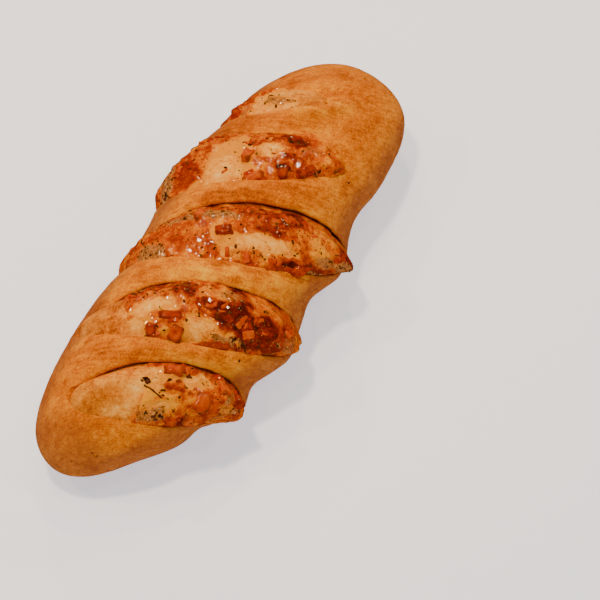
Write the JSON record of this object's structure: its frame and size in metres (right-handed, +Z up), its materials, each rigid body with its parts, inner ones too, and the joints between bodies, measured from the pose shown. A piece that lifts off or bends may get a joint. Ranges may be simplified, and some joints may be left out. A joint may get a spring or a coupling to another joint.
{
  "type": "ham and cheese baguette",
  "caption": "Golden baguette roll baked with slanting slashes that open on melted cheese, diced ham and herbs, to eat whole from the hand.",
  "frame": {"origin": "middle of the flat underside, below the centre of the roll's bounding box", "axes": "+X along the roll towards its blunt far end, +Z up out of the slashed crust, +Y to the side where the slashes reach furthest towards the near end's left"},
  "size_m": [0.205, 0.0814, 0.0537],
  "materials": {
    "crust": "satin",
    "cheese_and_herbs": "satin",
    "ham": "satin"
  },
  "bodies": {
    "root": {"bread": "crust", "filling": "cheese_and_herbs", "ham_01": "ham", "ham_02": "ham", "ham_03": "ham", "ham_04": "ham", "ham_05": "ham", "ham_06": "ham", "ham_07": "ham", "ham_08": "ham", "ham_09": "ham", "ham_10": "ham", "ham_11": "ham", "ham_12": "ham", "ham_13": "ham", "ham_14": "ham", "ham_15": "ham", "ham_16": "ham", "ham_17": "ham", "ham_18": "ham", "ham_19": "ham", "ham_20": "ham", "ham_21": "ham"}
  },
  "joints": []
}
